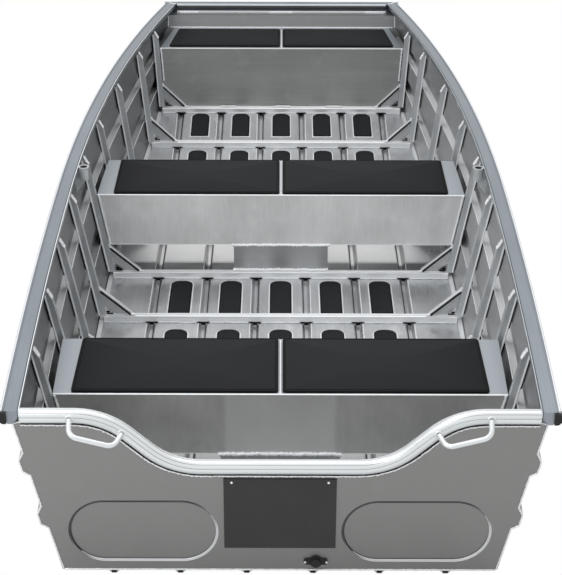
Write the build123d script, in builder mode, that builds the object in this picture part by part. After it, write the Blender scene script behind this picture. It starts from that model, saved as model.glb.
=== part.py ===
import os
from math import asin, atan, cos, degrees, radians, sin, sqrt, tan

from build123d import *

os.makedirs("parts", exist_ok=True)

# Square-bowed aluminium rowing boat, millimetres, +Y to the bow, +Z up.
# A station is the distance forward of the transom's aft face.

# Overall sizes
hull_length = 3825
handle_reach = 80
transom_y = -(hull_length - handle_reach - 7) / 2
transom_rake = 2.4
sheet = 2.5
transom_sheet = 3
wall = 2.5
clear = 0.4

# Bottom: flat, then an arc up to the bow plate
rib_drop = 12
arc_start = 2610
arc_radius = 4900
foot_station = 3678
foot_angle = asin((foot_station - arc_start) / arc_radius)
bow_top_station = 3737

# Sections the sides are lofted through
hull_stations = (-60, 500, 1000, 1500, 2000, 2500, 3000, 3400, 3860)

# Plan curves: a parabola each side of the widest station
chine_widest, chine_half, chine_stern_half = 1600, 634, 588
chine_bow_curve = 25e-6
top_widest, top_half, top_stern_half = 1490, 728, 698
top_bow_curve = 41e-6

# Heights above the floor
gunwale_top = rib_drop + 512
sheer_drop = 10.2e-6
gunwale_depth = 38
gunwale_half = 25

# Frames and benches
frame_stations = (380, 750, 1114, 1472, 1827, 2205, 2640, 3090, 3410)
beam_wide, beam_tall = 30, 25
side_rib_deep, side_rib_gap, side_rib_wide = 25, 5, 24
gusset_reach, gusset_rise = 92, 95
bench_top = rib_drop + 330
bench_under = rib_drop + 133
bow_bench_top = rib_drop + 363
bench_sheet = 2
pad_thick = 6

# Bottom ribs
rib_pitch = 180
rib_half, rib_floor_half = 18, 6
rib_positions = [(i - 2.5) * rib_pitch for i in range(6)]


def y_at(station):
    return transom_y + station


def chine(station):
    if station < chine_widest:
        curve = (chine_half - chine_stern_half) / chine_widest**2
    else:
        curve = chine_bow_curve
    return chine_half - curve * (station - chine_widest) ** 2


def plate_top(station):
    if station < top_widest:
        curve = (top_half - top_stern_half) / top_widest**2
    else:
        curve = top_bow_curve
    return top_half - curve * (station - top_widest) ** 2


def bottom(station):
    run = max(0, station - arc_start)
    return rib_drop + arc_radius - sqrt(arc_radius**2 - run**2)


def slope(station):
    return degrees(asin(max(0, station - arc_start) / arc_radius))


def sheer(station):
    return gunwale_top - sheer_drop * max(0, station - top_widest) ** 2


def side_x(station, z):
    low = bottom(station)
    high = sheer(station) - 12
    return chine(station) + (plate_top(station) - chine(station)) * (z - low) / (high - low)


def cross_plane(station):
    return Plane(origin=(0, y_at(station), 0), x_dir=(1, 0, 0), z_dir=(0, -1, 0))


# The transom leans aft; depth is measured forward, square to its aft face
def transom_plane(depth):
    lean = radians(transom_rake)
    return Plane(
        origin=(0, transom_y + depth * cos(lean), depth * sin(lean)),
        x_dir=(1, 0, 0),
        z_dir=(0, -cos(lean), -sin(lean)),
    )


def transom_station(z):
    return -z * tan(radians(transom_rake))


def save(builder, label):
    builder.part.label = label
    export_step(builder.part, f"parts/{label}.step")


# Room inside the side plates, used to trim what spans the hull
def hull_room(inset):
    with BuildPart() as room:
        for station in hull_stations:
            low_x = side_x(station, 0) - inset
            high_x = side_x(station, 560) - inset
            with BuildSketch(cross_plane(station)):
                with BuildLine():
                    Polyline((-low_x, 0), (low_x, 0), (high_x, 560), (-high_x, 560), close=True)
                make_face()
        loft()
    return room.part


# A strip that follows the bottom between two heights above its outer face
def bottom_strip(low, high, start=0, end_angle=foot_angle):
    def on_arc(lift, angle):
        radius = arc_radius - lift
        return (
            y_at(arc_start) + radius * sin(angle),
            rib_drop + arc_radius - radius * cos(angle),
        )

    with BuildSketch(Plane.YZ) as strip:
        with BuildLine():
            Line((y_at(start), rib_drop + low), on_arc(low, 0))
            ThreePointArc(on_arc(low, 0), on_arc(low, end_angle / 2), on_arc(low, end_angle))
            Line(on_arc(low, end_angle), on_arc(high, end_angle))
            ThreePointArc(on_arc(high, end_angle), on_arc(high, end_angle / 2), on_arc(high, 0))
            Line(on_arc(high, 0), (y_at(start), rib_drop + high))
            Line((y_at(start), rib_drop + high), (y_at(start), rib_drop + low))
        make_face()
    return strip.sketch


# Bottom plate with six pressed ribs
with BuildPart() as plan_prism:
    with BuildSketch():
        with BuildLine():
            stations = (-20, 800, chine_widest, 2400, 3100, 3740)
            edge = [(chine(s) + sheet, y_at(s)) for s in stations]
            Spline(*edge)
            Line(edge[-1], (-edge[-1][0], edge[-1][1]))
            Spline(*[(-x, y) for x, y in reversed(edge)])
            Line((-edge[0][0], edge[0][1]), edge[0])
        make_face()
    extrude(amount=700)



# Closed outline of one pressed rib, narrower at its floor
def rib_outline(x, top, floor, inset):
    return [
        (x - rib_half + inset, top),
        (x - rib_floor_half + inset / 2, floor),
        (x + rib_floor_half - inset / 2, floor),
        (x + rib_half - inset, top),
    ]


def rib_sketch(top, floor, inset):
    with BuildSketch(cross_plane(0)) as outlines:
        for x in rib_positions:
            with BuildLine():
                Polyline(*rib_outline(x, top, floor, inset), close=True)
            make_face()
    return outlines.sketch


with BuildPart() as bottom_plate:
    extrude(bottom_strip(0, sheet), amount=700, both=True)
    add(plan_prism.part, mode=Mode.INTERSECT)
    with BuildLine() as keel:
        arc_end = (0, y_at(foot_station), bottom(foot_station))
        arc_middle = (0, y_at(arc_start) + arc_radius * sin(foot_angle / 2), 0)
        arc_middle_z = rib_drop + arc_radius * (1 - cos(foot_angle / 2))
        Line((0, y_at(0), rib_drop), (0, y_at(arc_start), rib_drop))
        ThreePointArc(
            (0, y_at(arc_start), rib_drop), (0, arc_middle[1], arc_middle_z), arc_end
        )
    sweep(rib_sketch(rib_drop + 0.5, 0, 0), path=keel.wire())
    sweep(rib_sketch(rib_drop + sheet + 1, sheet, sheet), path=keel.wire(), mode=Mode.SUBTRACT)
save(bottom_plate, "bottom_plate")

# Bow plate, raked, between the sides, folded forward under the bow gunwale
foot_y = y_at(foot_station)
foot_z = bottom(foot_station) + sheet + clear
bow_top_y = y_at(bow_top_station)
bow_top_z = sheer(hull_length - gunwale_half) - gunwale_depth - clear
bow_rake = atan((bow_top_y - foot_y) / (bow_top_z - foot_z))
bow_step = sheet / cos(bow_rake)
with BuildPart() as bow_plate:
    with BuildSketch(Plane.YZ):
        with BuildLine():
            Polyline(
                (foot_y - bow_step, foot_z),
                (foot_y, foot_z),
                (bow_top_y, bow_top_z - sheet),
                (y_at(hull_length - 18), bow_top_z - sheet),
                (y_at(hull_length - 18), bow_top_z),
                (bow_top_y - bow_step, bow_top_z),
                close=True,
            )
        make_face()
    extrude(amount=700, both=True)
    add(hull_room(2 * clear), mode=Mode.INTERSECT)
save(bow_plate, "bow_plate")

# Side plates with two pressed strakes, their bow ends raked to meet the bow gunwale
plate_end_station = 3788
strake_deep = 17.5
strake_starts = (0.300, 0.655)


# Height and outward step down one side, as (z, out) from the bottom up
def strake_line(station):
    low = bottom(station) - 6
    high = sheer(station) - gunwale_depth - clear
    tall = high - low
    line = [(low, 0)]
    for start in strake_starts:
        line.append((low + start * tall, 0))
        line.append((low + (start + 0.026) * tall, strake_deep))
        line.append((low + (start + 0.095) * tall, strake_deep))
        line.append((low + (start + 0.148) * tall, 0))
    line.append((high, 0))
    return line


def side_section(station):
    inner = [(-side_x(station, z) - out, z) for z, out in strake_line(station)]
    outer = [(x - sheet, z) for x, z in inner]
    return inner + list(reversed(outer))


with BuildPart() as side_plate_port:
    for station in hull_stations:
        with BuildSketch(cross_plane(station)):
            with BuildLine():
                Polyline(*side_section(station), close=True)
            make_face()
    loft()
    with BuildPart(mode=Mode.PRIVATE) as below:
        extrude(bottom_strip(-60, sheet + clear, -80, 1.12 * foot_angle), amount=800, both=True)
    add(below.part, mode=Mode.SUBTRACT)
    end_rake = atan((y_at(plate_end_station) - foot_y - 8) / (bow_top_z - foot_z))
    rake_plane = Plane(
        origin=(0, foot_y + 8, foot_z),
        x_dir=(1, 0, 0),
        z_dir=(0, cos(end_rake), -sin(end_rake)),
    )
    split(bisect_by=rake_plane, keep=Keep.BOTTOM)
    split(bisect_by=transom_plane(0), keep=Keep.BOTTOM)
save(side_plate_port, "side_plate_port")

with BuildPart() as side_plate_starboard:
    mirror(side_plate_port.part, about=Plane.YZ)
save(side_plate_starboard, "side_plate_starboard")

# Transom cap line: level shoulders and a dropped middle for the motor
cap_radius = 20
cap_shoulder = rib_drop + 494
cap_middle = rib_drop + 336
cap_end = plate_top(-30) - gunwale_half - clear

cap_corners = (
    (-cap_end, cap_shoulder),
    (-456, cap_shoulder),
    (-286, cap_middle),
    (286, cap_middle),
    (456, cap_shoulder),
    (cap_end, cap_shoulder),
)
cap_bend = 200


def cap_tube(radius, sides=0):
    with BuildLine(transom_plane(transom_sheet / 2)) as line:
        FilletPolyline(*cap_corners, radius=cap_bend)
    with BuildPart() as tube:
        with BuildSketch(Plane(origin=line.wire() @ 0, z_dir=line.wire() % 0)):
            if sides:
                RegularPolygon(radius, sides)
            else:
                Circle(radius)
        sweep(path=line.wire())
    return tube.part


with BuildPart() as transom_cap:
    add(cap_tube(cap_radius))
    add(cap_tube(cap_radius - 3, 8), mode=Mode.SUBTRACT)
save(transom_cap, "transom_cap")

# Transom with two pressed stadium panels, its edges following the strakes
panel_x, panel_z = 366, rib_drop + 128
panel_long, panel_tall, panel_deep = 400, 198, 5
transom_low = rib_drop + sheet + clear
corner_z = gunwale_top - gunwale_depth - clear
edge = [(transom_low, 0)] + strake_line(0)[1:-1] + [(corner_z, 0)]
edge = [(side_x(transom_station(z), z) + out - clear, z) for z, out in edge]
with BuildPart() as transom_plate:
    with BuildSketch(transom_plane(transom_sheet)):
        with BuildLine():
            FilletPolyline(*cap_corners, radius=cap_bend)
            Polyline(
                (cap_end, cap_shoulder),
                (cap_end, corner_z),
                *reversed(edge),
                *[(-x, z) for x, z in edge],
                (-cap_end, corner_z),
                (-cap_end, cap_shoulder),
            )
        make_face()
    extrude(amount=transom_sheet)
    with BuildSketch(transom_plane(transom_sheet + panel_deep)):
        with Locations((panel_x, panel_z), (-panel_x, panel_z)):
            SlotOverall(panel_long, panel_tall)
    extrude(amount=panel_deep)
    with BuildSketch(transom_plane(panel_deep)):
        with Locations((panel_x, panel_z), (-panel_x, panel_z)):
            SlotOverall(panel_long - 2 * sheet, panel_tall - 2 * sheet)
    extrude(amount=panel_deep, mode=Mode.SUBTRACT)
    add(cap_tube(cap_radius + clear), mode=Mode.SUBTRACT)
save(transom_plate, "transom_plate")


# Gunwales: hollow wedge-shaped extrusions over the side plates
def gunwale_section(centre, top, inset=0):
    half = gunwale_half - inset
    low = top - gunwale_depth + inset
    return [
        (centre - half, top - inset),
        (centre + half, top - inset),
        (centre + half + 1, top - 10),
        (centre + 7 - inset / 2, low),
        (centre - 7 + inset / 2, low),
        (centre - half, top - 14),
    ]


bow_bar_y = y_at(hull_length - gunwale_half)
bow_bar_top = sheer(hull_length - gunwale_half)
corner_x = plate_top(hull_length - gunwale_half)
mitre = Plane(
    origin=(corner_x, bow_bar_y, 0), x_dir=(0, 0, 1), z_dir=(1, -1.25, 0)
)

gunwale_aft = -30


def gunwale_bar(first, inset):
    with BuildPart() as bar:
        for station in (first, 500, 1000, 1500, 2000, 2500, 3000, 3400, hull_length + 10):
            outline = gunwale_section(plate_top(station), sheer(station), inset)
            with BuildSketch(cross_plane(station)):
                with BuildLine():
                    Polyline(*outline, close=True)
                make_face()
        loft()
    return bar.part


with BuildPart() as gunwale_starboard:
    add(gunwale_bar(gunwale_aft, 0))
    add(gunwale_bar(gunwale_aft + wall, wall), mode=Mode.SUBTRACT)
    split(bisect_by=mitre.offset(clear), keep=Keep.TOP)
save(gunwale_starboard, "gunwale_starboard")

with BuildPart() as gunwale_port:
    mirror(gunwale_starboard.part, about=Plane.YZ)
save(gunwale_port, "gunwale_port")

with BuildPart() as gunwale_bow:
    with BuildSketch(Plane.YZ):
        with BuildLine():
            Polyline(*gunwale_section(bow_bar_y, bow_bar_top), close=True)
        make_face()
        with BuildLine():
            Polyline(*gunwale_section(bow_bar_y, bow_bar_top, wall), close=True)
        make_face(mode=Mode.SUBTRACT)
    extrude(amount=corner_x + 60, both=True)
    split(bisect_by=mitre, keep=Keep.BOTTOM)
    other = Plane(origin=(-corner_x, bow_bar_y, 0), x_dir=(0, 0, 1), z_dir=(-1, -1.25, 0))
    split(bisect_by=other, keep=Keep.BOTTOM)
save(gunwale_bow, "gunwale_bow")

# Plastic caps on the gunwales' stern ends, rounded on their outer side
for side, hand in (("starboard", 1), ("port", -1)):
    with BuildPart() as end_cap:
        outer_x = hand * (plate_top(gunwale_aft) + gunwale_half + 4.6)
        inner_x = hand * (plate_top(gunwale_aft) + 9)
        with BuildSketch(cross_plane(gunwale_aft - clear)):
            with BuildLine():
                Line((inner_x, gunwale_top - 1), (outer_x - hand * 8, gunwale_top - 1))
                ThreePointArc(
                    (outer_x - hand * 8, gunwale_top - 1),
                    (outer_x, gunwale_top - 14),
                    (outer_x - hand * 12, gunwale_top - 34),
                )
                Line((outer_x - hand * 12, gunwale_top - 34), (inner_x, gunwale_top - 34))
                Line((inner_x, gunwale_top - 34), (inner_x, gunwale_top - 1))
            make_face()
        extrude(amount=8)
        with BuildSketch(cross_plane(gunwale_aft + 25)):
            with BuildLine():
                Polyline(
                    (outer_x - hand * 2, gunwale_top - 8),
                    (outer_x, gunwale_top - 9),
                    (outer_x, gunwale_top - 20),
                    (outer_x - hand * 2, gunwale_top - 21),
                    close=True,
                )
            make_face()
        extrude(amount=26)
    save(end_cap, f"end_cap_{side}")

# Grab handles on the transom cap: a round rod bent to a loop
rod_radius = 7
lean_back = transom_plane(0).z_dir
for side, hand in (("starboard", 1), ("port", -1)):
    with BuildPart() as handle:
        root = cap_radius - transom_sheet / 2 + clear
        aft = handle_reach + transom_station(cap_shoulder - 24)
        corners = (
            (hand * 543, cap_shoulder, root),
            (hand * 541, cap_shoulder - 24, aft),
            (hand * 428, cap_shoulder - 56, aft),
            (hand * 410, cap_shoulder - 44, root),
        )
        with BuildLine() as bend:
            FilletPolyline(
                *[transom_plane(0).from_local_coords(Vector(*c)) for c in corners],
                radius=26,
            )
        with BuildSketch(Plane(origin=bend.line @ 0, z_dir=bend.line % 0)):
            Circle(rod_radius)
        sweep(path=bend.line)
    save(handle, f"handle_{side}")

# Frames: a folded floor beam with drain notches over the pressed ribs, two side
# ribs of channel section and two flanged gussets each
for number, station in enumerate(frame_stations, start=1):
    floor_z = bottom(station) + sheet
    tilt = slope(station)
    with BuildPart() as floor_beam:
        reach = chine(station) - 17
        with BuildSketch(Plane.YZ) as hat:
            Rectangle(beam_wide, beam_tall, align=(Align.CENTER, Align.MIN))
            fillet(hat.vertices().group_by(Axis.Y)[-1], radius=6)
            Rectangle(
                beam_wide - 2 * wall,
                beam_tall - wall,
                align=(Align.CENTER, Align.MIN),
                mode=Mode.SUBTRACT,
            )
        extrude(amount=reach, both=True)
        with Locations([(x, 0, 0) for x in rib_positions]):
            Box(44, beam_wide + 2, 10, mode=Mode.SUBTRACT)
    placed = Location((0, y_at(station), floor_z + clear / 2), (tilt, 0, 0))
    floor_beam.part = floor_beam.part.moved(placed)
    save(floor_beam, f"floor_beam_{number}")

    foot = floor_z + beam_tall + clear + 8 * sin(radians(tilt))
    head = sheer(station)
    neck = head - gunwale_depth - 4
    low_x = side_x(station, foot) - side_rib_gap
    neck_x = side_x(station, neck) - side_rib_gap
    outline = [
        (low_x, foot),
        (low_x - side_rib_deep, foot),
        (neck_x - side_rib_deep, neck - 16),
        (neck_x - 12, neck + 8),
        (neck_x - 4, neck),
    ]
    hollow = [
        (low_x + 1, foot - 1),
        (low_x - side_rib_deep + wall, foot - 1),
        (neck_x - side_rib_deep + wall, neck - 17),
        (neck_x - 10, neck),
        (neck_x + 1, neck - 4),
    ]
    with BuildPart() as side_ribs:
        with BuildSketch(cross_plane(station + side_rib_wide / 2)):
            with BuildLine():
                Polyline(*outline, close=True)
            make_face()
            mirror(about=Plane.YZ)
        extrude(amount=side_rib_wide)
        with BuildSketch(cross_plane(station + side_rib_wide / 2 - wall)):
            with BuildLine():
                Polyline(*hollow, close=True)
            make_face()
            mirror(about=Plane.YZ)
        extrude(amount=side_rib_wide - 2 * wall, mode=Mode.SUBTRACT)
    save(side_ribs, f"side_ribs_{number}")

# Gussets, one node a side
for side, hand in (("starboard", 1), ("port", -1)):
    with BuildPart() as gussets:
        for station in frame_stations:
            top = bottom(station) + sheet + beam_tall + 2 * clear + 4
            rise = top + gusset_rise
            inner = side_x(station, top) - side_rib_gap - side_rib_deep - clear
            inner_mid = side_x(station, top + 28) - side_rib_gap - side_rib_deep - clear
            inner_up = side_x(station, rise) - side_rib_gap - side_rib_deep - clear
            toe = inner - gusset_reach
            corner = inner - 30
            run = sqrt((inner_up - toe) ** 2 + (rise - top) ** 2)
            along = ((inner_up - toe) / run, (rise - top) / run)
            lift = (-along[1] * 3, along[0] * 3)
            web = [
                (toe, top),
                (corner, top),
                (inner_mid, top + 28),
                (inner_up, rise),
            ]
            flange = [
                (toe, top),
                (inner_up, rise),
                (inner_up + lift[0], rise + lift[1]),
                (toe + lift[0], top + lift[1]),
            ]
            with BuildSketch(cross_plane(station + 1.5)):
                with BuildLine():
                    Polyline(*[(hand * x, z) for x, z in web], close=True)
                make_face()
            extrude(amount=3)
            with BuildSketch(cross_plane(station + 9)):
                with BuildLine():
                    Polyline(*[(hand * x, z) for x, z in flange], close=True)
                make_face()
            extrude(amount=18)
    save(gussets, f"gussets_{side}")

# Chine bars, inside along the bottom's edge
for side, hand in (("starboard", 1), ("port", -1)):
    with BuildPart() as chine_bar:
        with BuildSketch():
            with BuildLine():
                stations = (5, 500, 1000, chine_widest, 2200, 2800, 3390)
                near = [(hand * (chine(s) - 1), y_at(s)) for s in stations]
                far = [(hand * (chine(s) - 15), y_at(s)) for s in reversed(stations)]
                Spline(*near)
                Line(near[-1], far[0])
                Spline(*far)
                Line(far[-1], near[0])
            make_face()
        extrude(amount=700)
        with BuildPart(mode=Mode.PRIVATE) as skin:
            extrude(bottom_strip(sheet + clear, sheet + 9), amount=700, both=True)
        add(skin.part, mode=Mode.INTERSECT)
    save(chine_bar, f"chine_bar_{side}")

# Benches: folded sheet boxes trimmed to the hull
bench_room = hull_room(side_rib_gap + side_rib_deep + clear)
benches = (
    ("stern", frame_stations[0], 718, bench_top, bench_under),
    ("mid", frame_stations[4], 2165, bench_top, bench_under),
)


def bow_plate_station(z):
    run = (bow_top_y - foot_y) * (z - foot_z) / (bow_top_z - foot_z)
    return foot_station - bow_step + run


for name, aft, fore, top, under in benches:
    with BuildPart() as bench:
        with BuildSketch(Plane.YZ):
            with Locations(((y_at(aft) + y_at(fore)) / 2, (top + under) / 2)):
                RectangleRounded(fore - aft, top - under, 4)
                Rectangle(
                    fore - aft - 2 * bench_sheet,
                    top - under - 2 * bench_sheet,
                    mode=Mode.SUBTRACT,
                )
        extrude(amount=760, both=True)
        add(bench_room, mode=Mode.INTERSECT)
    save(bench, f"bench_{name}")

bow_face = frame_stations[8] + 10
bow_fore = bow_plate_station(bow_bench_top) - 3 * clear
with BuildPart() as bench_bow:
    with BuildSketch(Plane.YZ) as folded:
        with BuildLine():
            low = bottom(frame_stations[8]) + sheet + beam_tall + clear + 12 * sin(radians(tilt))
            Polyline(
                (y_at(bow_face), low),
                (y_at(bow_face), bow_bench_top),
                (y_at(bow_fore), bow_bench_top),
                (y_at(bow_fore), bow_bench_top - bench_sheet),
                (y_at(bow_face + bench_sheet), bow_bench_top - bench_sheet),
                (y_at(bow_face + bench_sheet), low),
                close=True,
            )
        make_face()
        corner = folded.vertices().group_by(Axis.Y)[-1].sort_by(Axis.X)[0]
        fillet(corner, radius=4)
    extrude(amount=760, both=True)
    add(bench_room, mode=Mode.INTERSECT)
save(bench_bow, "bench_bow")

# Foam pads, a pair on each bench, from the aft edge forward
pad_rows = (
    ("stern", 387, 709, bench_top, (595, 594)),
    ("mid", 1834, 2152, bench_top, (604, 603)),
    ("bow", 3438, 3685, bow_bench_top, (501, 470)),
)
for name, near, far, top, wide in pad_rows:
    for side, hand in (("starboard", 1), ("port", -1)):
        with BuildPart() as pad:
            with BuildSketch(Plane.XY.offset(top + clear / 2)) as pad_outline:
                with BuildLine():
                    Polyline(
                        (hand * 6, y_at(near)),
                        (hand * wide[0], y_at(near)),
                        (hand * wide[1], y_at(far)),
                        (hand * 6, y_at(far)),
                        close=True,
                    )
                make_face()
                fillet(pad_outline.vertices(), radius=9)
            extrude(amount=pad_thick)
        save(pad, f"pad_{name}_{side}")

# Support plates under the stern and mid benches' aft faces
for name, number in (("stern", 1), ("mid", 5)):
    station = frame_stations[number - 1]
    low = bottom(station) + sheet + beam_tall + clear
    with BuildPart() as support:
        with BuildSketch(cross_plane(station + 4)):
            with Locations((0, (low + bench_under - clear) / 2)):
                Rectangle(344, bench_under - clear - low)
        extrude(amount=3)
    save(support, f"support_{name}")

# Non-slip floor pads, five across in each open bay, their fore ends arched
pad_half = 39
pad_bays = ((782, 1070), (1146, 1400), (1514, 1785), (2237, 2595), (2672, 3042), (3182, 3386))
with BuildPart() as floor_pads:
    with BuildSketch():
        for aft, fore in pad_bays:
            for i in range(5):
                x = (i - 2) * rib_pitch
                with BuildLine():
                    Polyline(
                        (x - pad_half, y_at(fore) - 14),
                        (x - pad_half, y_at(aft) + 8),
                        (x - pad_half + 8, y_at(aft)),
                        (x + pad_half - 8, y_at(aft)),
                        (x + pad_half, y_at(aft) + 8),
                        (x + pad_half, y_at(fore) - 14),
                        (x + pad_half / 2, y_at(fore) - 3),
                        (x - pad_half / 2, y_at(fore) - 3),
                        close=True,
                    )
                make_face()
    extrude(amount=400)
    with BuildPart(mode=Mode.PRIVATE) as skin:
        extrude(bottom_strip(sheet + 0.2, sheet + 4.2, start=400), amount=600, both=True)
    add(skin.part, mode=Mode.INTERSECT)
save(floor_pads, "floor_pads")

# Rowlock sockets against the gunwales' inner edges
socket_station, socket_outer, socket_bore, socket_tall = 1646, 18, 14, 44
for side, hand in (("starboard", 1), ("port", -1)):
    socket_x = hand * (plate_top(socket_station) - gunwale_half - socket_outer - 2 * clear)
    with BuildPart() as socket:
        with Locations((socket_x, y_at(socket_station), gunwale_top - socket_tall)):
            Cylinder(
                socket_outer, socket_tall, align=(Align.CENTER, Align.CENTER, Align.MIN)
            )
            Cylinder(
                socket_bore,
                socket_tall,
                align=(Align.CENTER, Align.CENTER, Align.MIN),
                mode=Mode.SUBTRACT,
            )
        seat = gunwale_top - socket_tall
        with BuildSketch(cross_plane(socket_station + 2)):
            with BuildLine():
                Polyline(
                    (socket_x - hand * 12, seat),
                    (hand * (side_x(socket_station, seat) - 1), seat),
                    (hand * (side_x(socket_station, seat - 52) - 1), seat - 52),
                    close=True,
                )
            make_face()
        extrude(amount=4)
    save(socket, f"rowlock_socket_{side}")

# Motor pad and drain fitting on the transom's aft face
with BuildPart() as motor_pad:
    with BuildSketch(transom_plane(-clear / 2)):
        with Locations((0, rib_drop + 188)):
            Rectangle(299, 224)
    extrude(amount=4)
save(motor_pad, "motor_pad")

with BuildPart() as drain_flange:
    with BuildSketch(transom_plane(-clear / 2)):
        with Locations((97, rib_drop + 30)):
            Circle(18)
            SlotOverall(66, 18)
    extrude(amount=5)
    with BuildSketch(transom_plane(-clear / 2 - 5)):
        with Locations((97, rib_drop + 30)):
            Circle(13)
    extrude(amount=9)
save(drain_flange, "drain_flange")
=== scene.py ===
import math
import random

import bpy
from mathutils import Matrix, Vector


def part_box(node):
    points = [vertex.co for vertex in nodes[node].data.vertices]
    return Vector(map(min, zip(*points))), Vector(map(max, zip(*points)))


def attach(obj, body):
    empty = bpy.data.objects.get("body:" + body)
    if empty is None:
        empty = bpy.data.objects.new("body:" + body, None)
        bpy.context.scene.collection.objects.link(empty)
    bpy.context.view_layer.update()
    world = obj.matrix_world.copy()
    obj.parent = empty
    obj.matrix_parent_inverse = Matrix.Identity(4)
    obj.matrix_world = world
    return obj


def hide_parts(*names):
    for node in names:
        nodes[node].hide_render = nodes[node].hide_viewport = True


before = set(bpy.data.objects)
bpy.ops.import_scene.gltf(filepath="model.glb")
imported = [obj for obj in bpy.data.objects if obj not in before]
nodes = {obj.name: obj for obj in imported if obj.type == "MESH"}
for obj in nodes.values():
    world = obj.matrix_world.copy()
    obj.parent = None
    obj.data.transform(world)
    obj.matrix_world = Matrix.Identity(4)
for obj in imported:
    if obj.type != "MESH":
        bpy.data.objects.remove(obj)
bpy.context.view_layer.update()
print("frame loaded:", len(nodes), "pieces")


# Camera at the photograph's place, behind the transom and above it
view = {
    "lens": 105.67, "place": (0.001, -5.6521, 2.715), "pitch": 26.06, "roll": 0.15,
    "longSide": 36.0, "reach": 200,
}
bpy.ops.object.select_all(action="DESELECT")
bpy.ops.object.camera_add(
    location=view["place"], rotation=(math.radians(90 - view["pitch"]), 0, 0)
)
camera = bpy.context.object
camera.rotation_euler.rotate_axis("Z", math.radians(view["roll"]))
camera.data.lens = view["lens"]
camera.data.sensor_width = view["longSide"]
camera.data.sensor_fit = "AUTO"
camera.data.clip_end = view["reach"]
bpy.context.scene.camera = camera


class Wire:
    # a node socket that takes part in sums
    def __init__(self, finish, socket):
        self.finish = finish
        self.socket = socket

    def __add__(self, other):
        return self.finish.sum("ADD", self, other)

    def __radd__(self, other):
        return self.finish.sum("ADD", other, self)

    def __sub__(self, other):
        return self.finish.sum("SUBTRACT", self, other)

    def __rsub__(self, other):
        return self.finish.sum("SUBTRACT", other, self)

    def __mul__(self, other):
        return self.finish.sum("MULTIPLY", self, other)

    def __rmul__(self, other):
        return self.finish.sum("MULTIPLY", other, self)


class Finish:
    # a material whose nodes are added by node() and by sums on their sockets
    def __init__(self, name):
        self.material = bpy.data.materials.new(name)
        self.material.use_nodes = True
        self.tree = self.material.node_tree
        self.shader = self.tree.nodes["Principled BSDF"]

    def node(self, kind, settings=None, sockets=None, out=0):
        made = self.tree.nodes.new(kind)
        for key, value in (settings or {}).items():
            setattr(made, key, value)
        for key, value in (sockets or {}).items():
            self.feed(made.inputs[key], value)
        return Wire(self, made.outputs[out])

    def feed(self, target, value):
        if isinstance(value, Wire):
            self.tree.links.new(value.socket, target)
        else:
            target.default_value = value

    def sum(self, operation, a, b=0.0):
        return self.node("ShaderNodeMath", {"operation": operation}, {0: a, 1: b})

    def limit(self, value):
        # cut off below 0 and above 1
        return self.node(
            "ShaderNodeMath", {"operation": "ADD", "use_clamp": True}, {0: value, 1: 0.0}
        )

    def place(self):
        return self.node("ShaderNodeTexCoord", out="Object")

    def split(self, vector):
        made = self.node("ShaderNodeSeparateXYZ", sockets={0: vector})
        return [Wire(self, socket) for socket in made.socket.node.outputs]

    def noise(self, scale, detail, rough, stretch=(1, 1, 1)):
        moved = self.node("ShaderNodeMapping", sockets={"Vector": self.place(), "Scale": stretch})
        return self.node(
            "ShaderNodeTexNoise",
            sockets={"Vector": moved, "Scale": scale, "Detail": detail, "Roughness": rough},
        )

    def mix(self, share, a, b):
        return self.node(
            "ShaderNodeMix", {"data_type": "RGBA"}, {0: share, 6: a, 7: b}, out=2
        )

    def bump(self, height, strength, distance):
        return self.node(
            "ShaderNodeBump",
            sockets={"Height": height, "Strength": strength, "Distance": distance},
        )

    def set(self, **values):
        for key, value in values.items():
            self.feed(self.shader.inputs[key.replace("_", " ")], value)
        return self.material


# The hull's own lines, in metres, from the same values as the solids
hull = {
    "transomY": -1.869, "lean": 2.4, "ribDrop": 0.012, "sheet": 0.0025,
    "arcStart": 2.610, "arcRadius": 4.900, "ribPitch": 0.180,
    "chineWidest": 1.600, "chineHalf": 0.634, "chineStern": 0.588, "chineBow": 0.025,
    "topWidest": 1.490, "topHalf": 0.728, "topStern": 0.698, "topBow": 0.041,
    "gunwaleTop": 0.524, "sheerDrop": 0.0102, "sideDrop": 0.012, "gunwaleDepth": 0.038,
    "gunwaleHalf": 0.025, "length": 3.825, "bowFoot": 3.678, "bowTop": 3.737,
    "frames": (0.380, 0.750, 1.114, 1.472, 1.827, 2.205, 2.640, 3.090, 3.410),
    "beamWide": 0.030, "beamTall": 0.025,
}
lean = math.radians(hull["lean"])
bowCentre = hull["length"] - hull["gunwaleHalf"]
ribX = [(i - 2.5) * hull["ribPitch"] for i in range(6)]
hands = (1, -1)
bothSides = (("starboard", 1), ("port", -1))


def yAt(station):
    return hull["transomY"] + station


def parabola(station, widest, half, stern, bowCurve):
    curve = (half - stern) / widest**2 if station < widest else bowCurve
    return half - curve * (station - widest) ** 2


def chineX(station):
    return parabola(
        station, hull["chineWidest"], hull["chineHalf"], hull["chineStern"], hull["chineBow"]
    )


def topX(station):
    return parabola(station, hull["topWidest"], hull["topHalf"], hull["topStern"], hull["topBow"])


def bottomZ(station):
    run = max(0, station - hull["arcStart"])
    return hull["ribDrop"] + hull["arcRadius"] - math.sqrt(hull["arcRadius"] ** 2 - run**2)


def slopeAt(station):
    return math.asin(max(0, station - hull["arcStart"]) / hull["arcRadius"])


def sheerZ(station):
    return hull["gunwaleTop"] - hull["sheerDrop"] * max(0, station - hull["topWidest"]) ** 2


def sideX(station, z):
    low = bottomZ(station)
    high = sheerZ(station) - hull["sideDrop"]
    return chineX(station) + (topX(station) - chineX(station)) * (z - low) / (high - low)


def beamTop(station):
    return bottomZ(station) + hull["sheet"] + hull["beamTall"]


def neckZ(station):
    # where a side rib's head ends under the gunwale
    return sheerZ(station) - hull["gunwaleDepth"] - 0.004


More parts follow.
